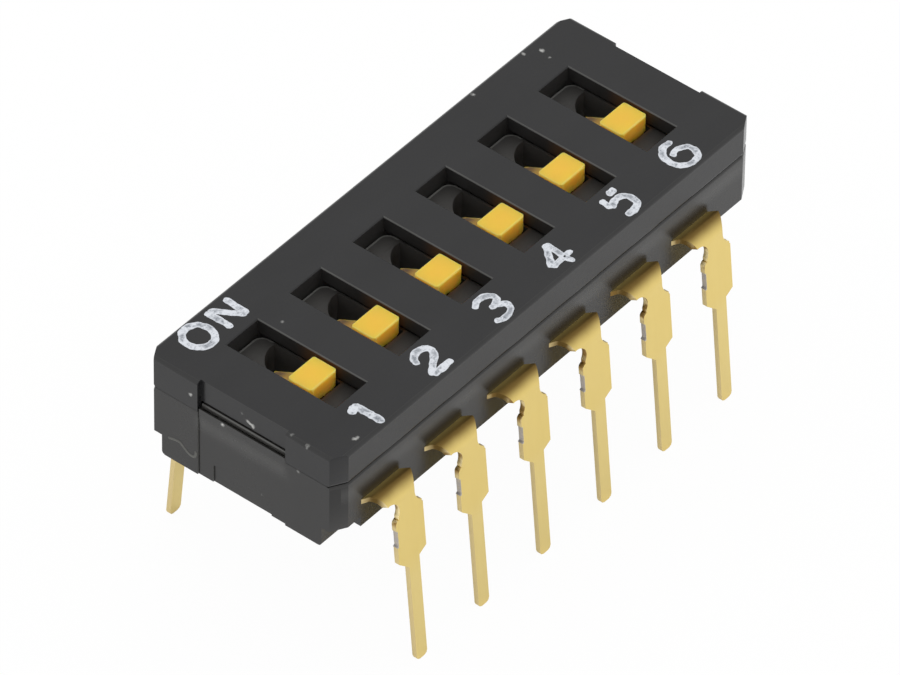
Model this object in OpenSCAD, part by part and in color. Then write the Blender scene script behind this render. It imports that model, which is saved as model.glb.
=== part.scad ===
// Six-way slide DIP switch with flush actuators and formed through-hole terminals.
// X runs along the row of positions, -Y is the numbered side, +Y is the ON side.
// Z = 0 is the underside of the moulded base.

/* [Switch] */
// Number of switch positions
positions = 6; // [1:1:12]
// Distance from one position to the next
pitch = 2.54; // [2.54:0.01:2.8]

/* [Housing] */
// Plastic beyond the outermost pitch cells, both ends together
end_margin = 1.86; // [1.7:0.01:2.4]
// Width of the housing across the terminal rows
body_w = 6.4; // [6.2:0.05:7.2]
// Height from the underside of the base to the top of the cover
body_h = 3.25; // [3.2:0.01:3.5]
// Height of the joint line between the base and the cover
seam_z = 2.22; // [2.1:0.01:2.3]
// Corner cut, measured along the length
corner_x = 0.45; // [0.2:0.05:0.5]
// Corner cut, measured across the width
corner_y = 0.26; // [0.1:0.02:0.4]
// Radius of the cover's top edges
edge_r = 0.1; // [0.04:0.01:0.16]

/* [Base] */
// Height of the foot of the end posts
post_z = 0.67; // [0.5:0.01:0.8]
// Height of the foot of the long side walls between the end posts
skirt_z = 0.34; // [0.2:0.01:0.45]
// Width of the plinth under the base
plinth_w = 5.36; // [4.8:0.02:5.8]
// Radius of the plinth's lower edges
plinth_r = 0.12; // [0.04:0.01:0.2]
// Depth of the latch panel's step in the end faces
panel_step = 0.045; // [0.03:0.005:0.08]

/* [Cover] */
// Width of an actuator slot
slot_w = 1.24; // [1.16:0.01:1.3]
// Length of an actuator slot
slot_l = 3.64; // [3.5:0.02:3.8]
// Thickness of the cover's roof over the channels beside the slots
roof_t = 0.43; // [0.38:0.01:0.45]
// Depth of the shallow recess in the cover's end faces
recess_d = 0.15; // [0.12:0.01:0.2]
// Width of the latch window and of the recess above it
window_w = 2.94; // [2:0.02:3.4]

/* [Slider] */
// Width of the actuator
knob_w = 1.1; // [0.9:0.01:1.12]
// Length of the actuator along its travel
knob_l = 0.82; // [0.7:0.01:0.82]
// Radius of the actuator's upright edges
knob_r = 0.16; // [0.06:0.01:0.2]
// How far the actuator stands below the cover's top face
knob_drop = 0.04; // [0.02:0.01:0.1]
// Travel from OFF to ON
travel = 1.05; // [0.9:0.01:1.05]

/* [Terminals] */
// Thickness of the terminal strip
strip_t = 0.15; // [0.12:0.01:0.2]
// Height of the terminal strip's upper face inside the base
strip_z = 1.27; // [1.24:0.01:1.3]
// Outer radius of the terminal's bend
bend_r = 0.45; // [0.38:0.01:0.5]
// How far the legs splay from upright, in degrees
splay = 5.2; // [0:0.1:6]
// Width of the terminal's shoulder
shoulder_w = 1.17; // [1:0.01:1.24]
// Width of the leg
leg_w = 0.42; // [0.36:0.01:0.5]
// Depth of the leg tips below the underside of the base
tip_depth = 4.63; // [4.2:0.01:5]

/* [Hidden] */
$fn = 48;
eps = 0.05;

// Housing
body_l = positions * pitch + end_margin;
ledge_z = body_h - 0.58;
roof_z = body_h - roof_t;
island_z = ledge_z - 0.12;
island_l = body_l - 1.7;
island_w = body_w - 1.2;
fit_gap = 0.03;
seam_gap = 0.015;
skirt_before = 1.25;
skirt_after = 0.85;
panel_w = window_w;
panel_band_z = 1.8;
tongue_z = 2.34;
tongue_t = 0.07;
tongue_step = 0.02;
cover_z = seam_z + seam_gap;
slot_edge_c = 0.03;
window_z0 = seam_z + 0.08;
window_z1 = seam_z + 0.31;
hook_z0 = window_z0 + 0.01;
hook_z1 = window_z1 - 0.08;
hook_reach = 0.03;
arch_w = 1.96;
arch_h = 0.82;
arch_r = 2.1;
arch_d = 0.04;

// Well that each slider runs in, in plan from the centre of its position
well_x0 = -0.35;
well_x1 = 0.64;
well_y0 = -0.96;
well_y1 = 1.28;
well_r = 0.9;
well_cx = 0.6;
well_cy = 0.4;

// Channel under the cover's roof, and the pad of the base that fills its floor
channel_w = slot_w + 0.22;
channel_r = 0.15;
pad_r = 0.3;

// Slider
knob_y0 = -0.94;
knob_y1 = knob_y0 + knob_l;
knob_top = body_h - knob_drop;
knob_edge_r = 0.06;
flange_z0 = ledge_z + 0.02;
flange_z1 = roof_z - 0.03;
flange_w = slot_w + 0.14;
flange_y0 = knob_y0 + 0.3;
tail_y = 0.53;
tail_x = -0.21;
tail_root_x = 0.04;
tail_root_y = 0.16;
stem_x0 = 0;
stem_x1 = 0.4;
stem_y0 = well_y0 + fit_gap;
stem_y1 = -0.05;
stem_z = 1.68;

// Moving contact: an arched leaf with two rolled toes
contact_w = 0.4;
contact_y = (stem_y0 + stem_y1) / 2;
contact_r = 0.4;
contact_t = 0.1;
toe_r = 0.1;
toe_gap = 0.03;
contact_z = strip_z + toe_gap + toe_r;
contact_x = (stem_x0 + stem_x1) / 2;

// Terminals, drawn for the numbered side from the centre of a position
blade_w = 0.72;
front_blade_end = 0.34;
back_blade_end = 0.62;
tab_left = 1.03;
tab_right = 0.28;
tab_wide = 0.5;
tab_shoulder = 0.77;
bend_y = body_w / 2 + 0.13;
bend_z = strip_z - bend_r;
root_y = 1.6;
tab_y = 2.1;
tab_flare = 0.2;
tab_root = 0.2;
neck_z = 0.8;
notch_right_x = 0.67;
notch_right_z = 0.85;
notch_right_r = 0.45;
notch_left_x = 0.74;
notch_left_z = 0.66;
notch_left_r = 0.34;
far = 6;
shoulder_top_z = 0.36;
shoulder_end_z = -1.08;
leg_left_z = -1.42;
leg_right_z = -1.27;
shoulder_r = 0.12;
tip_r = 0.12;
shear_top_z = 0.02;
shear_end_z = -0.5;
shear_step = 0.035;
burr = 0.022;

function station_x(i) = (i - (positions + 1) / 2) * pitch;

module at_stations() {
    for (i = [1:positions]) translate([station_x(i), 0, 0]) children();
}

// Plan of the housing with its cut corners
module body_plan(l, w) {
    x = l / 2;
    y = w / 2;
    polygon([
        [-x, -y + corner_y], [-x + corner_x, -y], [x - corner_x, -y], [x, -y + corner_y],
        [x, y - corner_y], [x - corner_x, y], [-x + corner_x, y], [-x, y - corner_y]
    ]);
}

// Rectangle with round corners
module round_rect(w, h, r) {
    square([w - 2 * r, h], center = true);
    square([w, h - 2 * r], center = true);
    for (x = [-1, 1], y = [-1, 1])
        translate([x * (w / 2 - r), y * (h / 2 - r)]) circle(r);
}

// Upright profile of a block whose two upper corners are round
module round_top(w, z0, z1, r) {
    translate([0, z0]) {
        translate([-w / 2, 0]) square([w, z1 - z0 - r]);
        translate([-w / 2 + r, 0]) square([w - 2 * r, z1 - z0]);
        for (s = [-1, 1]) translate([s * (w / 2 - r), z1 - z0 - r]) circle(r);
    }
}

// Extrudes a profile drawn in X and Z through the width
module through_y(w) {
    rotate([90, 0, 0]) linear_extrude(w, center = true) children();
}

// Extrudes a profile drawn in Y and Z through the length
module through_x(l) {
    rotate([90, 0, 90]) linear_extrude(l, center = true) children();
}

module both_ends() {
    for (s = [0, 1]) mirror([s, 0, 0]) children();
}

// Plan of a well: a slot with one big round corner behind the stem
module well_plan() {
    difference() {
        translate([well_x0, well_y0]) square([well_x1 - well_x0, well_y1 - well_y0]);
        difference() {
            translate([well_x0 - eps, well_cy]) square([well_cx - well_x0 + eps, well_r + eps]);
            translate([well_cx, well_cy]) circle(well_r);
        }
    }
}

// Plinth: round lower edges along both long sides
module plinth() {
    through_x(body_l) mirror([0, 1]) round_top(plinth_w, -seam_z, 0, plinth_r);
}

// Side wall under one row of tabs, reaching lower than the end posts
module skirt() {
    l = 2 * station_x(positions) + skirt_before + skirt_after;
    translate([-station_x(positions) - skirt_before, -body_w / 2, skirt_z])
        cube([l, body_w / 2, seam_z - skirt_z]);
}

// Latch panel in an end face: a shallow step whose upper band flares out to the tongue
module panel_cut() {
    x = body_l / 2;
    through_y(panel_w) polygon([
        [x - panel_step, -eps], [x + eps, -eps], [x + eps, tongue_z + eps],
        [x - tongue_step, tongue_z + eps], [x - tongue_step, tongue_z], [x - panel_step, panel_band_z]
    ]);
}

// Shallow recess with an arched top at the foot of an end face
module arch_cut() {
    translate([body_l / 2 - panel_step - arch_d, 0, 0]) rotate([90, 0, 90]) linear_extrude(1)
        intersection() {
            translate([-arch_w / 2, -eps]) square([arch_w, arch_h + eps]);
            translate([0, arch_h - arch_r]) circle(arch_r, $fn = 96);
        }
}

// Tongue at the top of the latch panel, which stands up in the cover's recess
module tongue() {
    x = body_l / 2;
    through_y(window_w - 2 * fit_gap) polygon([
        [x - tongue_t, tongue_z - 0.2], [x, tongue_z - 0.2], [x, tongue_z], [x - tongue_t, tongue_z]
    ]);
}

// Wedge that reaches out through the cover's window and holds the bar below it
module hook() {
    x = body_l / 2 - recess_d + hook_reach;
    through_y(window_w - 0.1) polygon([
        [island_l / 2 - eps, hook_z0], [x, hook_z0], [x, hook_z1 - hook_reach], [x - hook_reach, hook_z1],
        [island_l / 2 - eps, hook_z1 + 0.02]
    ]);
}

// Pad of the base that stands up into the channel of one slot
module pad() {
    translate([0, 0, island_z - eps]) linear_extrude(ledge_z - island_z + eps)
        round_rect(channel_w - 2 * fit_gap, slot_l - 2 * fit_gap, pad_r);
}

module base() {
    color("#2b2b2c") difference() {
        union() {
            translate([0, 0, post_z]) linear_extrude(seam_z - post_z) body_plan(body_l, body_w);
            for (turn = [0, 180]) rotate([0, 0, turn]) skirt();
            plinth();
            translate([-island_l / 2, -island_w / 2, post_z])
                cube([island_l, island_w, island_z - post_z]);
            at_stations() pad();
            both_ends() {
                hook();
                tongue();
            }
        }
        both_ends() {
            panel_cut();
            arch_cut();
        }
        at_stations() {
            translate([0, 0, strip_z]) linear_extrude(body_h) well_plan();
            strip_seats();
        }
    }
}

// Seats of a position's two terminals, which the base is moulded round
module strip_seats() {
    strip_seat(front_blade_end, contact_x);
    rotate([0, 0, 180]) strip_seat(-back_blade_end, -contact_x);
}

module strip_seat(inner_end, blade_x) {
    translate([0, 0, strip_z - strip_t]) linear_extrude(strip_t) strip_plan(inner_end, blade_x);
}

module cover() {
    color("#262628") difference() {
        intersection() {
            translate([0, 0, cover_z]) linear_extrude(body_h - cover_z) body_plan(body_l, body_w);
            through_x(body_l + 1) round_top(body_w, cover_z, body_h, edge_r);
            through_y(body_w + 1) round_top(body_l, cover_z, body_h, edge_r);
        }
        cavity();
        at_stations() slot();
        both_ends() {
            translate([body_l / 2 - recess_d, -window_w / 2, seam_z]) cube([1, window_w, body_h]);
            translate([island_l / 2, -window_w / 2, window_z0]) cube([1, window_w, window_z1 - window_z0]);
        }
    }
}

// Space inside the cover that the base's island fills
module cavity() {
    l = island_l + 2 * fit_gap;
    w = island_w + 2 * fit_gap;
    translate([-l / 2, -w / 2, seam_z]) cube([l, w, island_z - seam_z]);
}

// Slot with broken upper edges, over a wider channel that the slider's flange runs in
module slot() {
    translate([0, 0, island_z - eps]) linear_extrude(roof_z - island_z + eps)
        round_rect(channel_w, slot_l, channel_r);
    translate([-slot_w / 2, -slot_l / 2, roof_z - eps]) cube([slot_w, slot_l, body_h]);
    intersection() {
        through_x(pitch) slot_edge(slot_l);
        through_y(body_w) slot_edge(slot_w);
    }
}

// Profile across a slot's upper edges
module slot_edge(w) {
    polygon([
        [-w / 2, body_h - slot_edge_c], [w / 2, body_h - slot_edge_c],
        [w / 2 + slot_edge_c + eps, body_h + eps], [-w / 2 - slot_edge_c - eps, body_h + eps]
    ]);
}

// Actuator block with round upright edges and softened top edges
module knob() {
    translate([0, (knob_y0 + knob_y1) / 2, 0]) intersection() {
        translate([0, 0, flange_z0]) linear_extrude(knob_top - flange_z0)
            round_rect(knob_w, knob_l, knob_r);
        through_x(2) round_top(knob_l, flange_z0, knob_top, knob_edge_r);
        through_y(2) round_top(knob_w, flange_z0, knob_top, knob_edge_r);
    }
}

// Flange that the cover's roof holds down, with a tail behind the actuator
module flange() {
    x = flange_w / 2;
    translate([0, 0, flange_z0]) linear_extrude(flange_z1 - flange_z0) polygon([
        [-x, flange_y0], [x, flange_y0], [x, knob_y1], [knob_w / 2, knob_y1 - knob_r],
        [tail_root_x, tail_root_y], [tail_x, tail_y], [-x, tail_y]
    ]);
}

// Stem that reaches down the well and seats on the contact
module stem() {
    difference() {
        translate([stem_x0, stem_y0, stem_z])
            cube([stem_x1 - stem_x0, stem_y1 - stem_y0, flange_z0 - stem_z + eps]);
        translate([0, contact_y, contact_z]) rotate([0, 90, 0]) cylinder(4, contact_r, contact_r, center = true);
    }
}

module slider(i) {
    translate([station_x(i), 0, 0]) color("#f0b83c") {
        knob();
        flange();
        stem();
    }
}

// Moving contact: half a ring with a rolled toe at each end
module contact(i) {
    translate([station_x(i) + contact_x, contact_y, contact_z])
        color("#d9b44a") through_x(contact_w) {
            difference() {
                circle(contact_r);
                circle(contact_r - contact_t);
                translate([-1, -2]) square(2);
            }
            for (s = [-1, 1]) translate([s * (contact_r - contact_t / 2), 0]) circle(toe_r);
        }
}

// Side view of a terminal: blade, quarter bend and splayed leg
module strip_profile(inner_end) {
    n = [-cos(splay), sin(splay)];
    d = [-sin(splay), -cos(splay)];
    reach = (bend_z + tip_depth + bend_r * sin(splay)) / cos(splay);
    translate([-bend_y, strip_z - strip_t]) square([bend_y + inner_end, strip_t]);
    translate([-bend_y, bend_z]) {
        difference() {
            intersection() {
                circle(bend_r);
                polygon([[0, 0], [0, 1], [-1, 1], n]);
            }
            circle(bend_r - strip_t);
        }
        polygon([n * bend_r, n * bend_r + d * reach, n * (bend_r - strip_t) + d * reach, n * (bend_r - strip_t)]);
    }
}

// Plan of a terminal: blade in the well, root in the wall, flared tab outside
module strip_plan(inner_end, blade_x) {
    x0 = blade_x - blade_w / 2;
    x1 = blade_x + blade_w / 2;
    polygon([
        [x0, inner_end], [x1, inner_end], [x1, -root_y], [tab_right, -tab_y], [tab_right, -body_w / 2],
        [tab_wide, -body_w / 2 - tab_flare], [tab_wide, -far], [-tab_shoulder, -far],
        [-tab_shoulder, -body_w / 2 - 0.6], [-tab_left, -body_w / 2 - tab_root / 2],
        [-tab_left - tab_root, -body_w / 2], [-tab_left, -tab_y], [x0, -root_y]
    ]);
}

// Edge of a terminal's front view, from the tab down to the round tip of the leg. The
// shear mark of the tie bar is a shallow step in the shoulder that ends in a small burr.
function front_edge(s, a, leg_z) = [
    [far, far], [far, neck_z], [s, neck_z], [s, shear_top_z], [s - shear_step, shear_top_z - shear_step],
    [s - shear_step, shear_end_z + shear_step], [s + burr, shear_end_z], [s, shear_end_z - 2 * burr],
    [s, shoulder_end_z], [a, leg_z], [a, tip_r - tip_depth], [a - 0.3 * tip_r, 0.3 * tip_r - tip_depth],
    [a - tip_r, -tip_depth]
];

// What is cut away outside a round shoulder corner
module shoulder_corner() {
    translate([shoulder_w / 2 - shoulder_r, shoulder_top_z - shoulder_r]) difference() {
        square(2 * shoulder_r);
        circle(shoulder_r);
    }
}

// Front view of a terminal: tab, notched neck, shoulder and leg
module strip_front() {
    right = front_edge(shoulder_w / 2, leg_w / 2, leg_right_z);
    left = front_edge(shoulder_w / 2, leg_w / 2, leg_left_z);
    difference() {
        polygon(concat(right, [for (i = [len(left) - 1:-1:0]) [-left[i][0], left[i][1]]]));
        for (side = [0, 1]) mirror([side, 0]) shoulder_corner();
        translate([notch_right_x, notch_right_z]) circle(notch_right_r);
        translate([-notch_left_x, notch_left_z]) circle(notch_left_r);
    }
}

module formed_strip(inner_end, opposite = false) {
    blade_x = opposite ? -contact_x : contact_x;
    color("#dcc46e") intersection() {
        through_x(far) strip_profile(inner_end);
        translate([0, 0, -far]) linear_extrude(2 * far) strip_plan(inner_end, blade_x);
        through_y(4 * far) strip_front();
    }
}

// Terminals count along the numbered side, then back along the ON side
module terminal(n) {
    if (n <= positions)
        translate([station_x(n), 0, 0]) formed_strip(front_blade_end);
    else
        translate([station_x(2 * positions + 1 - n), 0, 0])
            rotate([0, 0, 180]) formed_strip(-back_blade_end, true);
}

base();
cover();
for (i = [1:positions]) {
    slider(i);
    contact(i);
}
for (n = [1:2 * positions])
    terminal(n);
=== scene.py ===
import math

import bmesh
import bpy
from mathutils import Matrix, Vector, noise


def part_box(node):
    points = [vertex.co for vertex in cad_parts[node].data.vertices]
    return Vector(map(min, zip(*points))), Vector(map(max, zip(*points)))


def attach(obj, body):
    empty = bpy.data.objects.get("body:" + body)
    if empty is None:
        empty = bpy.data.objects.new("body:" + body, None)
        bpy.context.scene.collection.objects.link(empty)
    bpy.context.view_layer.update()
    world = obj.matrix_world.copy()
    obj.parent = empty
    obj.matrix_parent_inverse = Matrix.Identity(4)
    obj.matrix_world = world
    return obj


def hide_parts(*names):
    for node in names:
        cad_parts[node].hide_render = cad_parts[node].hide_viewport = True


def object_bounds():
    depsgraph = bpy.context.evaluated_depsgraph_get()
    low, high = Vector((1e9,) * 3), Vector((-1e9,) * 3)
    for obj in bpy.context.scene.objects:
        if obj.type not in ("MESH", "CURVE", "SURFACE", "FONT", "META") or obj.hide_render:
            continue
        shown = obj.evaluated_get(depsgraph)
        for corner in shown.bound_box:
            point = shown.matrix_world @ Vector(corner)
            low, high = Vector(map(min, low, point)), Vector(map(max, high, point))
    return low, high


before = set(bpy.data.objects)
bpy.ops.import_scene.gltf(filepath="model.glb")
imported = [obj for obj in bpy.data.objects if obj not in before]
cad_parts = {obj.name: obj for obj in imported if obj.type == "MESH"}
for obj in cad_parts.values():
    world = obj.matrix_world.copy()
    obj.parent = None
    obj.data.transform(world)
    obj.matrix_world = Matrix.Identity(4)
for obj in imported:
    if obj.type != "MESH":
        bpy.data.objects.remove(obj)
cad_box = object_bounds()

# ---------------------------------------------------------------------------------------
# Base. Lower half of the housing, moulded in black glass-filled thermoplastic round the
# terminal strips. It comes out of a polished tool, so its walls are smooth and satin, with
# a slightly broken edge wherever two faces meet.
# ---------------------------------------------------------------------------------------
MM = 0.001
stations = [sum(corner.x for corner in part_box(f"slider_{n}")) / 2 / MM for n in range(1, 7)]
pitch = (stations[-1] - stations[0]) / (len(stations) - 1)


class Wire:
    """The output of one node in a finish. Arithmetic on wires adds the Math nodes for it."""

    def __init__(self, finish, socket):
        self.finish = finish
        self.socket = socket

    def maths(self, operation, *values):
        return self.finish.node("ShaderNodeMath", {"operation": operation}, dict(enumerate(values)))

    def __add__(self, other):
        return self.maths("ADD", self, other)

    def __mul__(self, other):
        return self.maths("MULTIPLY", self, other)

    def __sub__(self, other):
        return self.maths("SUBTRACT", self, other)

    def __rsub__(self, other):
        return self.maths("SUBTRACT", other, self)

    def __gt__(self, other):
        return self.maths("GREATER_THAN", self, other)

    def __lt__(self, other):
        return self.maths("LESS_THAN", self, other)

    def __abs__(self):
        return self.maths("ABSOLUTE", self)

    __radd__ = __add__
    __rmul__ = __mul__


class Finish:
    """A surface finish, mixed from nodes. Patterns are placed in millimetres on the piece."""

    def __init__(self, name, **shader_values):
        self.material = bpy.data.materials.new(name)
        self.material.use_nodes = True
        self.tree = self.material.node_tree
        self.tree.nodes.clear()
        self.shader = self.tree.nodes.new("ShaderNodeBsdfPrincipled")
        self.output = self.tree.nodes.new("ShaderNodeOutputMaterial")
        self.tree.links.new(self.shader.outputs["BSDF"], self.output.inputs["Surface"])
        for socket, value in shader_values.items():
            self.feed(self.shader.inputs[socket.replace("_", " ")], value)
        place = self.node("ShaderNodeTexCoord", out="Object")
        self.place = self.node("ShaderNodeMapping", {}, {"Vector": place, "Scale": (1 / MM,) * 3})

    def feed(self, socket, value):
        if isinstance(value, Wire):
            self.tree.links.new(value.socket, socket)
        elif hasattr(value, "__len__") and len(value) == 3 and socket.type == "RGBA":
            socket.default_value = (*value, 1)
        else:
            socket.default_value = value

    def node(self, kind, settings=None, values=None, out=0):
        node = self.tree.nodes.new(kind)
        for name, setting in (settings or {}).items():
            setattr(node, name, setting)
        for socket, value in (values or {}).items():
            self.feed(node.inputs[socket], value)
        return Wire(self, node.outputs[out])

    def grain(self, per_mm, detail=3, roughness=0.55, stretch=(1, 1, 1)):
        """Cloudy pattern from 0 to 1, with so many patches to a millimetre."""
        place = self.node("ShaderNodeMapping", {}, {"Vector": self.place, "Scale": stretch})
        return self.node("ShaderNodeTexNoise", {}, {
            "Vector": place, "Scale": per_mm, "Detail": detail, "Roughness": roughness}, "Fac")

    def band(self, wire, low, high):
        """0 below low, 1 above high, smooth between them."""
        return self.node("ShaderNodeMapRange", {"interpolation_type": "SMOOTHSTEP"}, {
            "Value": wire, "From Min": low, "From Max": high})

    def blend(self, mask, first, second):
        """Colour that goes from first to second as the mask goes from 0 to 1."""
        return self.node("ShaderNodeMix", {"data_type": "RGBA"}, {0: mask, 6: first, 7: second}, 2)

    def relief(self, height, depth_mm, under=None):
        values = {"Height": height, "Distance": depth_mm * MM, "Strength": 1}
        if under is not None:
            values["Normal"] = under
        return self.node("ShaderNodeBump", {}, values, "Normal")

    def axes(self):
        split = self.tree.nodes.new("ShaderNodeSeparateXYZ")
        self.feed(split.inputs[0], self.place)
        return [Wire(self, split.outputs[i]) for i in range(3)]

    def from_station(self, x):
        """How far a place lies from the centre line of its switch position."""
        return x.maths("WRAP", x - stations[0], pitch / 2, -pitch / 2)

    def mark(self, name):
        """The mark that a piece's mesh carries, such as rim for its broken edges."""
        return self.node("ShaderNodeAttribute", {"attribute_name": name}, {}, "Fac")

    def vector(self, operation, values, out=0):
        return self.node("ShaderNodeVectorMath", {"operation": operation}, values, out)

    def flecks(self, places, ragged_mm):
        """Mask of small ragged spots: x, y, z and radius of each in millimetres, and strength."""
        wander = self.node("ShaderNodeTexNoise", {}, {
            "Vector": self.place, "Scale": 9, "Detail": 3}, "Color")
        wander = self.vector("SUBTRACT", {0: wander, 1: (0.5,) * 3})
        wander = self.vector("SCALE", {0: wander, "Scale": ragged_mm})
        ragged = self.vector("ADD", {0: self.place, 1: wander})
        mask = 0
        for x, y, z, radius, strength in places:
            away = self.vector("DISTANCE", {0: ragged, 1: (x, y, z)}, "Value")
            mask = self.band(radius - away, 0, radius) * strength + mask
        return mask

    def set(self, **wires):
        for socket, wire in wires.items():
            self.feed(self.shader.inputs[socket.replace("_", " ")], wire)


def from_node(node, weld=0.0005, join_angle=0.5):
    """The piece's shape on the bench, in millimetres, with its flat faces in one piece each."""
    shape = bmesh.new()
    shape.from_mesh(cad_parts[node].data)
    bmesh.ops.scale(shape, vec=(1 / MM,) * 3, verts=shape.verts)
    bmesh.ops.remove_doubles(shape, verts=shape.verts, dist=weld)
    bmesh.ops.dissolve_limit(shape, angle_limit=math.radians(join_angle), verts=shape.verts,
                             edges=shape.edges)
    return shape


def mark_faces(shape, name, level):
    """Stores on every face the level of a mark, worked out from its middle and its normal."""
    layer = shape.faces.layers.float.new(name)
    for face in shape.faces:
        face[layer] = level(face.calc_center_median(), face.normal)


def off_station(x):
    """How far a place lies from the centre line of its switch position."""
    return min((x - station for station in stations), key=abs)


def break_edges(shape, width, sharper_than=25, segments=2):
    """Rounds the sharp edges a little, and marks the narrow new faces as rim."""
    rim = shape.faces.layers.float.new("rim")
    edges = [edge for edge in shape.edges
             if edge.is_manifold and edge.calc_face_angle(0) > math.radians(sharper_than)]
    made = bmesh.ops.bevel(shape, geom=edges, offset=width, offset_type="OFFSET", segments=segments,
                           profile=0.5, affect="EDGES", clamp_overlap=True, material=-1)
    for face in made["faces"]:
        face[rim] = 1.0


def to_piece(shape, name, finish, body, stands_for=(), crease=35):
    """Puts a finished shape in the switch: in metres, smooth up to the crease angle."""
    bmesh.ops.scale(shape, vec=(MM,) * 3, verts=shape.verts)
    for face in shape.faces:
        face.smooth = True
    for edge in shape.edges:
        edge.smooth = edge.is_manifold and edge.calc_face_angle(0) < math.radians(crease)
    mesh = bpy.data.meshes.new(name)
    shape.to_mesh(mesh)
    shape.free()
    piece = bpy.data.objects.new(name, mesh)
    bpy.context.scene.collection.objects.link(piece)
    piece.data.materials.append(finish.material)
    flat = piece.modifiers.new("flat faces stay flat", "WEIGHTED_NORMAL")
    flat.keep_sharp = True
    flat.weight = 100
    flat.thresh = 0.0
    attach(piece, body)
    if stands_for:
        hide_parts(*stands_for)
    return piece


matt_black = (0.045, 0.043, 0.040)
speck_grey = (0.03, 0.03, 0.03)
painted_light_grey = (0.18, 0.18, 0.17)
dust_and_sheen_grey = (0.55, 0.55, 0.53)
knob_glow_orange = (0.2, 0.08, 0.006)
glow_half_w = 0.75
row_half_l = 7.2


def black_plastic(name, tint, ior, rough, texture_mm, dust, sheen_z=None):
    """Black moulding: nearly all that it shows is the gloss of its skin and the dust on it.

    Faces marked lit get a pale grey that is painted light. The actuators' yellow is painted as a warm
    glow on what lies beside them, a painted reflection. The last argument gives the heights at which
    a pale painted sheen, standing for light from the floor, begins, is thickest and ends, on the long
    faces and the middle of the end ones.
    """
    finish = Finish(name, IOR=ior)
    x, y, z = finish.axes()
    flow = finish.grain(0.35, 3, 0.5, (1, 2.2, 1))
    fine = finish.grain(9, 4, 0.6)
    speck = finish.band(finish.grain(26, 2, 0.5), 0.66, 0.8)
    rim = finish.mark("rim")
    matt = finish.mark("matt")
    lit = finish.mark("lit")
    body = finish.blend(flow, [c * 0.7 for c in tint], [c * 1.5 for c in tint])
    body = finish.blend(matt, body, matt_black)
    body = finish.blend(speck * 0.3, body, speck_grey)
    body = finish.blend(rim * finish.band(finish.grain(3, 3), 0.45, 0.7), body, speck_grey)
    # Painted light: faces marked lit are painted pale grey, as highlights on edges and as light in
    # shaded gaps.
    body = finish.blend(lit * (0.4 + 0.6 * flow), body, painted_light_grey)
    # Painted reflection: a warm orange glow on the ledges and walls beside each actuator, its yellow
    # reflected there.
    knob_glow = matt * (abs(finish.from_station(x)) < glow_half_w) * (abs(x) < row_half_l)
    knob_glow *= (z > pad_z - hair) * finish.band(y, -1.1, -0.85) * (1 - finish.band(y, -0.1, 0.6))
    body = finish.blend(knob_glow * (0.4 + 0.6 * flow), body, knob_glow_orange)
    # Painted sheen: a pale band along the long faces and the middle of the end faces, standing for light
    # from the floor.
    if sheen_z:
        sheen = finish.band(z, sheen_z[0], sheen_z[1]) - finish.band(z, sheen_z[1], sheen_z[2])
        sheen *= 1 - finish.band(abs(y), 1.3, 1.7) + (abs(y) > 3.1)
        body = finish.blend(sheen * (0.03 + 0.03 * flow), body, dust_and_sheen_grey)
    dusty = finish.flecks(dust, 0.12)
    body = finish.blend(dusty, body, dust_and_sheen_grey)
    skin = finish.relief(fine, texture_mm)
    skin = finish.relief(flow, 0.004, skin)
    skin = finish.relief(dusty, 0.02, skin)
    finish.set(Base_Color=body, Normal=skin,
               Roughness=rough + fine * 0.08 + flow * 0.06 - rim * 0.04 + matt * 0.35 + dusty * 0.5)
    return finish


# Smallest distance that counts when faces are told apart, in millimetres
hair = 0.01
pad_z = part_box("base")[1].z / MM
# The base's painted sheen runs from 1.4 to 2.22 mm high and is palest at 1.85.
base_plastic = black_plastic(
    "base plastic", (0.0105, 0.0100, 0.0096), 1.46, 0.19, 0.0008,
    [(-8.53, 0.64, 2.25, 0.09, 1), (-8.55, -1.9, 2.18, 0.07, 0.4), (-8.5, -0.62, 0.5, 0.07, 0.35)],
    (1.4, 1.85, 2.22))
base_edge = 0.012
joint_z = 2.22
joint_round = 0.09
corner_y = 2.9
pad_x, pad_y, pad_r = 0.7, 1.79, 0.3
pad_rim = 0.055
well_end = 1.32
latch_x, latch_y, latch_z = 7.6, 1.48, 2.2


def round_joint(shape):
    """Rounds the long edges that meet at the joint line, so that they leave a shallow groove."""
    joint = [edge for edge in shape.edges if edge.is_manifold and edge.calc_face_angle(0) > 1
             and all(abs(v.co.z - joint_z) < 3 * hair and abs(v.co.y) > corner_y for v in edge.verts)]
    bmesh.ops.bevel(shape, geom=joint, offset=joint_round, offset_type="OFFSET", segments=3, profile=0.5,
                    affect="EDGES", clamp_overlap=True, material=-1)


def in_groove(middle, normal):
    at_joint = abs(middle.z - joint_z) < joint_round + 2 * hair and abs(middle.y) > corner_y
    return at_joint and 0.2 < abs(normal.z) < 0.99


def left_rough(middle, normal):
    """Wells, ledges and latch gaps come from unpolished steel, so they are duller."""
    in_slot = abs(off_station(middle.x)) < pad_x + 2 * hair and abs(middle.y) < pad_y + 2 * hair
    if in_slot and middle.z > 1:
        return 0.85 if normal.z > 0.9 and middle.z > pad_z - hair else 1
    if abs(middle.x) > latch_x and abs(middle.y) < latch_y:
        return 0.3 * (middle.z > latch_z)
    return 0


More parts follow.
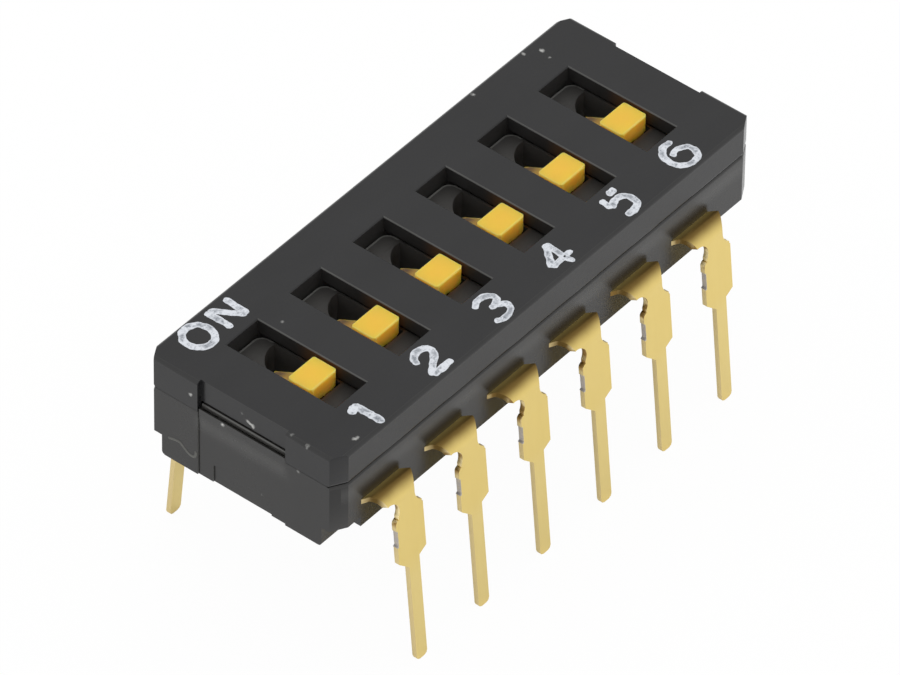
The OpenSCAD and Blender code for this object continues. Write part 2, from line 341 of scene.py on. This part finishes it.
def worn_rim(middle, normal):
    """Painted light: a highlight on each ledge's far margin, pale on the steps round the latch panel
    against their shade, a little in the joint.
    """
    if abs(middle.x) > latch_x and abs(middle.y) < latch_y + 6 * hair:
        if abs(normal.x) > 0.8:
            return 0.25 * (middle.z > latch_z)
        return 0.6 * (normal.z < 0.8)
    if in_groove(middle, normal):
        return 0.08
    from_side = max(abs(off_station(middle.x)) - pad_x + pad_r, 0)
    from_end = max(middle.y - pad_y + pad_r, 0)
    at_margin = math.hypot(from_side, from_end) > pad_r - pad_rim
    on_far_end = middle.z > pad_z - base_edge and middle.y > well_end + 2 * hair
    return 0.2 < normal.z and on_far_end and at_margin


def ledge_faces(shape):
    return [face for face in shape.faces if face.normal.z > 0.9
            and face.calc_center_median().z > pad_z - hair]


base_shape = from_node("base")
ledges = ledge_faces(base_shape)
around = {part for face in ledges for part in (*face.verts, *face.edges)}
bmesh.ops.bisect_plane(base_shape, geom=ledges + list(around), plane_co=(0, well_end, 0),
                       plane_no=(0, 1, 0))
far_ends = [face for face in ledge_faces(base_shape) if face.calc_center_median().y > well_end]
bmesh.ops.inset_region(base_shape, faces=far_ends, thickness=pad_rim, use_even_offset=True)
round_joint(base_shape)
break_edges(base_shape, base_edge)
mark_faces(base_shape, "matt", left_rough)
# Painted light on the ledges' far margins, the latch steps and the joint groove.
mark_faces(base_shape, "lit", worn_rim)
to_piece(base_shape, "base_moulding", base_plastic, "housing", ["base"])

# ---------------------------------------------------------------------------------------
# Terminals. Twelve strips stamped from copper alloy, plated with gold, sheared off their tie
# bar and bent down. Bare grey metal shows where the tie bar was, on both sides of each
# shoulder. From the base's wall to the bend the gold is painted dark brown, a painted
# reflection of the black wall, and the tabs' cut edges carry painted glints.
# ---------------------------------------------------------------------------------------
gold = (0.82, 0.63, 0.205)
gold_pale = (0.82, 0.66, 0.27)
gold_rolled = (0.72, 0.55, 0.2)
cut_gold = (0.78, 0.64, 0.33)
bare_metal = (0.52, 0.49, 0.47)
wall_reflection_brown = (0.22, 0.142, 0.042)
cut_edge_shade_brown = (0.4, 0.25, 0.08)
cut_edge_glint_cream = (1.0, 0.85, 0.48)
terminal_edge = 0.012
tie_bar_x = 0.54
tie_bar_z = (-0.52, 0.03)
tie_bar_blur = 0.03

gold_plating = Finish("gold plating", Metallic=1.0)
roll_marks = gold_plating.grain(5, 4, 0.6, (1, 1, 0.12))
cloud = gold_plating.grain(1.1, 3, 0.5)
x_axis, y_axis, z_axis = gold_plating.axes()
off_leg = abs(gold_plating.from_station(x_axis)) + gold_plating.grain(9) * 0.02
sheared = gold_plating.band(off_leg, tie_bar_x, tie_bar_x + 0.025)
sheared *= gold_plating.band(z_axis, tie_bar_z[0] - tie_bar_blur, tie_bar_z[0] + tie_bar_blur)
sheared *= 1 - gold_plating.band(z_axis, tie_bar_z[1] - tie_bar_blur, tie_bar_z[1] + tie_bar_blur)
pale = gold_plating.band(0 - z_axis, 0.9, 2.0) * 0.6 + cloud * 0.4
plating = gold_plating.blend(pale, gold, gold_pale)
plating = gold_plating.blend(roll_marks * 0.25, plating, gold_rolled)
cut = gold_plating.mark("cut")
# Painted glints: on the tabs' cut edges, patches of cream highlight and of dark brown shade.
cut_edge_glints = cut * gold_plating.band(z_axis, 0.1, 0.3)
glint_patches = gold_plating.band(gold_plating.grain(3, 1), 0.4, 0.62)
plating = gold_plating.blend(cut, plating, cut_gold)
plating = gold_plating.blend(cut_edge_glints, plating, gold_plating.blend(glint_patches, cut_edge_shade_brown, cut_edge_glint_cream))
plating = gold_plating.blend(sheared, plating, bare_metal)
wall_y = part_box("base")[1].y / MM
# Painted reflection: from the wall to the bend the gold is painted dark brown, the black wall showing in
# it.
past_wall = abs(y_axis) + cloud * 0.1 - wall_y
at_root = gold_plating.band(past_wall, -0.1, 0.25) * (1 - gold_plating.band(past_wall, 0.3, 0.64))
plating = gold_plating.blend(at_root, plating, wall_reflection_brown)
dulled = cut * 0.25 + sheared * 0.1 + at_root * 0.25
gold_plating.set(Base_Color=plating, Roughness=0.27 + roll_marks * 0.1 + dulled,
                 Normal=gold_plating.relief(roll_marks, 0.0012))

for n in range(1, 13):
    terminal_shape = from_node(f"terminal_{n}")
    break_edges(terminal_shape, terminal_edge, 40)
    mark_faces(terminal_shape, "cut", lambda middle, normal: abs(normal.x) > 0.3)
    to_piece(terminal_shape, f"terminal_strip_{n}", gold_plating, "housing",
             [f"terminal_{n}"])

# ---------------------------------------------------------------------------------------
# Moving contacts. Six gold-plated spring leaves, arched and curled at both toes. Each sits
# under its actuator's stem and slides on the fixed blades.
# ---------------------------------------------------------------------------------------
spring_leaf = Finish("spring leaf", Metallic=1.0)
leaf_marks = spring_leaf.grain(6, 4, 0.6, (0.15, 1, 1))
leaf_gold = spring_leaf.blend(leaf_marks, (0.62, 0.46, 0.2), (0.72, 0.55, 0.25))
spring_leaf.set(Base_Color=leaf_gold,
                Roughness=0.22 + leaf_marks * 0.12, Normal=spring_leaf.relief(leaf_marks, 0.0015))
for n in range(1, 7):
    leaf_shape = from_node(f"contact_{n}")
    to_piece(leaf_shape, f"spring_leaf_{n}", spring_leaf, f"actuator_{n}",
             [f"contact_{n}"])

# ---------------------------------------------------------------------------------------
# Actuators. Six small blocks moulded in glossy orange-yellow plastic, each in one piece
# with the flange that the cover holds down and the stem that reaches into the well.
# ---------------------------------------------------------------------------------------
yellow = (1.0, 0.54, 0.034)
yellow_shaded_side = (1.0, 0.5, 0.045)
yellow_edge_highlight = (1.0, 0.66, 0.22)
flange_shade_brown = (0.05, 0.02, 0.001)
flange_top = 2.82
actuator_plastic = Finish("actuator plastic", IOR=1.49, Subsurface_Weight=0.9, Subsurface_Scale=0.7 * MM)
actuator_plastic.shader.inputs["Subsurface Radius"].default_value = (1, 0.6, 0.2)
shade = actuator_plastic.grain(1.5, 3)
dimple = actuator_plastic.grain(14, 3)
rim = actuator_plastic.mark("rim")
pigment = actuator_plastic.blend(shade, [c * 0.95 for c in yellow], yellow)
x_axis, y_axis = actuator_plastic.axes()[:2]
# Painted shade: below the knob's top the flange goes dark brown, darker towards +X and towards its far
# end.
inward = actuator_plastic.band(actuator_plastic.from_station(x_axis), -0.42, -0.1)
to_tip = actuator_plastic.band(y_axis, 0.1, 0.4)
painted_shade_mask = actuator_plastic.mark("painted_shade_mask") * (0.42 + 0.46 * to_tip + 0.1 * inward)
# Side faces are painted a more orange yellow, to look like the knob's shaded sides.
pigment = actuator_plastic.blend(actuator_plastic.mark("side"), pigment, yellow_shaded_side)
pigment = actuator_plastic.blend(painted_shade_mask, pigment, flange_shade_brown)
# Painted highlight: a paler yellow on the knob's rounded top edges.
actuator_plastic.set(Base_Color=actuator_plastic.blend(rim * 0.4, pigment, yellow_edge_highlight),
                     Roughness=0.28 + dimple * 0.1, Normal=actuator_plastic.relief(dimple, 0.0012))


def on_knob_edge(middle, normal):
    return middle.z > flange_top + 0.08 and max(map(abs, normal)) < 0.97


for n in range(1, 7):
    slider_shape = from_node(f"slider_{n}")
    # The flange and stem below the knob's top carry the painted shade.
    mark_faces(slider_shape, "painted_shade_mask", lambda middle, normal: middle.z < flange_top)
    mark_faces(slider_shape, "side", lambda middle, normal: abs(normal.z) < 0.5)
    mark_faces(slider_shape, "rim", on_knob_edge)
    to_piece(slider_shape, f"actuator_block_{n}", actuator_plastic, f"actuator_{n}",
             [f"slider_{n}"])

# ---------------------------------------------------------------------------------------
# Cover. Upper half of the housing, black like the base, snapped over its island by the
# latch window in each end. Its top has a fine even texture from the tool.
# ---------------------------------------------------------------------------------------
cover_plastic = black_plastic("cover plastic", (0.0095, 0.0095, 0.0102), 1.415, 0.17, 0.002, [
    (7.0, 2.75, 3.25, 0.09, 1), (6.59, 3.03, 3.25, 0.08, 0.8), (6.93, 2.42, 3.25, 0.06, 0.5),
    (4.5, 3.04, 3.25, 0.08, 0.7), (-5.41, 1.27, 3.25, 0.07, 0.4), (-7.56, -2.94, 3.25, 0.085, 0.8),
    (-7.48, -2.97, 3.25, 0.085, 0.7), (-8.55, 1.7, 2.7, 0.085, 0.9), (-8.4, -0.1, 2.73, 0.09, 0.8),
    (-8.4, -0.18, 2.69, 0.08, 0.8), (-8.4, -0.26, 2.66, 0.1, 0.9), (-8.45, -1.61, 3.22, 0.07, 0.35),
    (-8.5, -2.18, 3.2, 0.08, 0.5), (-8.4, 0.1, 2.9, 0.07, 0.15)])
cover_edge = 0.012
cover_x, cover_y, cover_z = (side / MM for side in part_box("cover")[1])
outline_w = 0.11
slot_side = (0.6, 0.7)
slot_y = 1.83
window_top = 2.58


def slot_edge(middle, normal):
    """Painted light: a highlight on slot edges that face position 1 and along the top's outline, pale on
    the latch windows and the joint against their shade.
    """
    inside = min(cover_x - abs(middle.x), cover_y - abs(middle.y))
    if inside < outline_w and middle.z > cover_z - outline_w and normal.z > 0.1:
        return 0.1
    if in_groove(middle, normal):
        return 0.12
    if abs(middle.x) > latch_x:
        return 0.25 * (abs(middle.y) < latch_y and middle.z < window_top)
    on_side = slot_side[0] < off_station(middle.x) < slot_side[1] and abs(middle.y) < slot_y + 2 * hair
    return 0.5 * (on_side and middle.z > cover_z - 0.1 and -0.95 < normal.x < -0.2)


def unpolished(middle, normal):
    """The slot walls and the latch windows' insides, which the polishing did not reach."""
    in_slot = abs(off_station(middle.x)) < slot_side[1] + 4 * hair and abs(middle.y) < slot_y
    if in_slot and 2 < middle.z < cover_z - 5 * hair:
        return 0.3 + 0.08 * (normal.y < -0.5)
    return 0.8 * (abs(middle.x) > latch_x and abs(middle.y) < latch_y and middle.z < window_top)


cover_shape = from_node("cover")
round_joint(cover_shape)
break_edges(cover_shape, cover_edge)
# Painted highlights on the slot edges and the top outline, painted light in the latch windows and the
# joint groove.
mark_faces(cover_shape, "lit", slot_edge)
mark_faces(cover_shape, "matt", unpolished)
to_piece(cover_shape, "cover_moulding", cover_plastic, "housing", ["cover"])

# ---------------------------------------------------------------------------------------
# Legend. White ink stamped on the cover with a soft pad: the word ON by the far row and the
# numbers 1 to 6 by the near one. The strokes are round-ended and the ink lies unevenly.
# ---------------------------------------------------------------------------------------
letters_y = 2.57
digits_y = -2.55
ink_height = 0.014
stroke_weld = 0.0001
stamp_seed = 1795468097
o_wide, o_high = 0.41, 0.44

# Strokes of each mark, in millimetres from its middle, with the wobble of a hand-cut stamp
glyphs = {
    "O": [[(o_wide * math.cos(i * math.pi / 8), o_high * math.sin(i * math.pi / 8)) for i in range(17)]],
    "N": [[(-0.34, -0.46), (-0.35, 0.45)], [(-0.28, 0.43), (0.3, -0.42)], [(0.33, -0.42), (0.35, 0.43)]],
    "1": [[(-0.57, 0.3), (-0.42, 0.32), (-0.26, 0.4)], [(-0.26, 0.46), (-0.25, 0.0), (-0.25, -0.56)]],
    "2": [[(-0.6, 0.12), (-0.47, 0.35), (-0.22, 0.45), (0.01, 0.37), (0.07, 0.22), (-0.06, 0.02),
           (-0.31, -0.15), (-0.56, -0.34), (-0.64, -0.44)], [(-0.64, -0.44), (0.15, -0.42)]],
    "3": [[(-0.56, 0.31), (-0.35, 0.45), (-0.1, 0.45), (0.07, 0.35), (0.11, 0.18), (-0.08, 0.05),
           (-0.31, 0.02)],
          [(-0.12, 0.04), (0.11, -0.15), (0.03, -0.36), (-0.22, -0.46), (-0.47, -0.44), (-0.56, -0.32)]],
    "4": [[(0, 0.5), (-0.62, -0.21)], [(-0.62, -0.21), (0.23, -0.17)],
          [(0, 0.5), (-0.07, -0.05), (-0.04, -0.5)]],
    "5": [[(-0.08, 0.43), (0.26, 0.45)], [(-0.35, 0.45), (-0.39, 0.02)],
          [(-0.39, 0.02), (-0.24, 0.1), (-0.05, 0.17), (0.13, 0.14), (0.25, 0.0), (0.26, -0.15),
           (0.17, -0.36), (-0.08, -0.46), (-0.35, -0.4)]],
    "6": [[(0.09, 0.45), (-0.28, 0.47), (-0.53, 0.22), (-0.57, -0.07), (-0.45, -0.36), (-0.16, -0.48),
           (0.13, -0.4), (0.24, -0.11), (0.13, 0.06), (-0.12, 0.16), (-0.36, 0.04)]],
}
ink_thick = (0.735, 0.765, 0.815)
ink_thin = (0.2, 0.22, 0.25)

legend_ink = Finish("legend ink", IOR=1.45)
crown = legend_ink.band(legend_ink.axes()[2] - cover_z, ink_height * 0.55, ink_height * 0.95)
thin = legend_ink.band(legend_ink.grain(4.2, 4, 0.65), 0.42, 0.62) * (0.2 + 0.8 * crown)
pits = legend_ink.band(legend_ink.grain(13, 3, 0.6), 0.5, 0.68)
legend_ink.set(Base_Color=legend_ink.blend(thin * 0.75 + pits * 0.42, ink_thick, ink_thin),
               Roughness=0.45 + thin * 0.2, Normal=legend_ink.relief(thin + pits * 0.5, -0.004))


def curved(path, steps=8):
    """Smooth line through all the points of a path."""
    points = [Vector(p) for p in path]
    closed = (points[0] - points[-1]).length < 0.001
    line = []
    for i in range(len(points) - 1):
        before = points[i - 1] if i else (points[-2] if closed else points[0])
        after = points[i + 2] if i + 2 < len(points) else (points[1] if closed else points[-1])
        a, b = points[i], points[i + 1]
        for k in range(steps):
            t = k / steps
            line.append(a * (1 - t) ** 2 * (1 + 2 * t) + b * t * t * (3 - 2 * t)
                        + (b - before) / 2 * t * (1 - t) ** 2 - (after - a) / 2 * t * t * (1 - t))
    return line + [points[-1]]


def stroke(path, width):
    """One pen stroke as a tube with round ends, its middle line in the surface."""
    line = curved(path)
    lengths = [0.0]
    for a, b in zip(line, line[1:]):
        lengths.append(lengths[-1] + (b - a).length)
    closed = (line[0] - line[-1]).length < 0.001
    count = max(8, int(lengths[-1] / 0.03))
    stops = [lengths[-1] * i / count for i in range(count + (not closed))]
    if not closed:
        ends = [width / 2 * (1 - math.cos(math.radians(a))) for a in (8, 30, 52, 72)]
        stops = sorted(stops + ends + [lengths[-1] - e for e in ends])
    curve = bpy.data.curves.new("stroke", "CURVE")
    curve.dimensions = "3D"
    curve.bevel_depth = width / 2
    curve.bevel_resolution = 3
    spline = curve.splines.new("POLY")
    spline.use_cyclic_u = closed
    spline.points.add(len(stops) - 1)
    for point, stop in zip(spline.points, stops):
        k = max(i for i in range(len(line) - 1) if lengths[i] <= stop + 1e-9)
        place = line[k].lerp(line[k + 1], (stop - lengths[k]) / (lengths[k + 1] - lengths[k]))
        point.co = (place.x, place.y, 0, 1)
        inset = min(stop, lengths[-1] - stop) / (width / 2)
        point.radius = 1 if closed else math.sqrt(max(1e-4, 1 - max(0, 1 - inset) ** 2))
    holder = bpy.data.objects.new("stroke", curve)
    mesh = bpy.data.meshes.new_from_object(holder)
    bpy.data.objects.remove(holder)
    return mesh


def stamp(glyph, name, x, y, width):
    shape = bmesh.new()
    for path in glyphs[glyph]:
        shape.from_mesh(stroke(path, width))
    bmesh.ops.remove_doubles(shape, verts=shape.verts, dist=stroke_weld)
    bmesh.ops.scale(shape, vec=(1, 1, 2 * ink_height / width), verts=shape.verts)
    bmesh.ops.translate(shape, vec=(x, y, cover_z), verts=shape.verts)
    for v in shape.verts:
        bleed = noise.noise_vector(v.co * 5) * 0.03 + noise.noise_vector(v.co * 14) * 0.012
        v.co.x += bleed.x
        v.co.y += bleed.y
    bmesh.ops.recalc_face_normals(shape, faces=shape.faces)
    to_piece(shape, name, legend_ink, "housing", crease=80)


# The bleed of the ink comes from noise that Blender starts from the clock, unless it is seeded
noise.seed_set(stamp_seed)
digit_strokes = (0.25, 0.215, 0.2, 0.195, 0.22, 0.2)
stamp("O", "legend_letter_O", -7.205, letters_y, 0.22)
stamp("N", "legend_letter_N", -6.05, letters_y, 0.215)
for n, width in enumerate(digit_strokes, 1):
    stamp(str(n), f"legend_digit_{n}", stations[n - 1], digits_y, width)

# ---------------------------------------------------------------------------------------
# Lint. One pale fibre that clings to the base's end below position 1, bent into a hook by
# static. It is a hair's thickness and lies flat on the plastic.
# ---------------------------------------------------------------------------------------
fibre_w = 0.085
fibre_line = [(2.47, 0.7), (2.27, 0.75), (2.07, 0.77), (1.9, 0.64), (1.73, 0.54), (1.59, 0.55),
              (1.53, 0.66), (1.54, 0.77)]
fibre_flat = 0.4
end_x = cad_box[0].x / MM

lint = Finish("lint", IOR=1.4)
lint.set(Base_Color=lint.blend(lint.grain(6), (0.075, 0.075, 0.07), (0.15, 0.15, 0.14)),
         Roughness=0.8 + lint.grain(20) * 0.1, Normal=lint.relief(lint.grain(40), 0.002))
fibre_shape = bmesh.new()
fibre_shape.from_mesh(stroke([(-y, z) for y, z in fibre_line], fibre_w))
bmesh.ops.remove_doubles(fibre_shape, verts=fibre_shape.verts, dist=stroke_weld)
bmesh.ops.scale(fibre_shape, vec=(1, 1, fibre_flat), verts=fibre_shape.verts)
bmesh.ops.transform(fibre_shape, verts=fibre_shape.verts,
                    matrix=Matrix(((0, 0, -1, end_x), (-1, 0, 0, 0), (0, 1, 0, 0), (0, 0, 0, 1))))
bmesh.ops.recalc_face_normals(fibre_shape, faces=fibre_shape.faces)
to_piece(fibre_shape, "lint_fibre", lint, "housing", crease=80)

# ---------------------------------------------------------------------------------------
# Studio. A white paper floor under the leg tips and even white light from all round. The
# camera looks down on the numbered side and on the end with position 1.
# ---------------------------------------------------------------------------------------
floor_z = cad_box[0].z
floor_radius = 0.6
seen_white = 0.96
mirrored_white = 0.35
floor_shape = bmesh.new()
bmesh.ops.create_circle(floor_shape, cap_ends=True, segments=64, radius=floor_radius)
bmesh.ops.translate(floor_shape, vec=(0, 0, floor_z), verts=floor_shape.verts)
floor_mesh = bpy.data.meshes.new("floor")
floor_shape.to_mesh(floor_mesh)
floor = bpy.data.objects.new("floor", floor_mesh)
bpy.context.scene.collection.objects.link(floor)

paper = Finish("floor paper", Base_Color=(1, 1, 1), Roughness=1.0, Specular_IOR_Level=0.0)
seen, glossy, clear = (paper.node("ShaderNodeLightPath", {}, {}, kind)
                       for kind in ("Is Camera Ray", "Is Glossy Ray", "Is Transmission Ray"))
bare = seen_white * seen + mirrored_white * (glossy + clear)
glow = paper.node("ShaderNodeEmission", {}, {"Color": (1, 1, 1)})
lit_paper = Wire(paper, paper.shader.outputs["BSDF"])
backdrop = paper.node("ShaderNodeMixShader", {}, {0: bare, 1: lit_paper, 2: glow})
paper.feed(paper.output.inputs["Surface"], backdrop)
floor.data.materials.append(paper.material)

world = bpy.data.worlds.new("studio")
world.use_nodes = True
world.node_tree.nodes["Background"].inputs["Color"].default_value = (1, 1, 1, 1)
world.node_tree.nodes["Background"].inputs["Strength"].default_value = 1.0
bpy.context.scene.world = world
bpy.context.scene.view_settings.view_transform = "Standard"

camera_azimuth = math.radians(-51.132)
camera_elevation = math.radians(43.283)
camera_roll = math.radians(0.816)
camera_distance = 317.93
camera_shift = (-0.0593, -0.3136)
lens_px = 12165.6
frame_px = 900
sensor_mm = 36
camera_data = bpy.data.cameras.new("camera")
camera_data.sensor_width = sensor_mm
camera_data.lens = lens_px / frame_px * sensor_mm
camera_data.clip_start = 0.01
camera_data.clip_end = 10
camera = bpy.data.objects.new("camera", camera_data)
bpy.context.scene.collection.objects.link(camera)
back = Vector((math.sin(camera_azimuth) * math.cos(camera_elevation),
               -math.cos(camera_azimuth) * math.cos(camera_elevation), math.sin(camera_elevation)))
right = Vector((math.cos(camera_azimuth), math.sin(camera_azimuth), 0))
up = back.cross(right)
right, up = (right * math.cos(camera_roll) + up * math.sin(camera_roll),
             up * math.cos(camera_roll) - right * math.sin(camera_roll))
eye = (back * camera_distance + right * camera_shift[0] + up * camera_shift[1]) * MM
camera.matrix_world = Matrix.Translation(eye) @ Matrix((right, up, back)).transposed().to_4x4()
bpy.context.scene.camera = camera
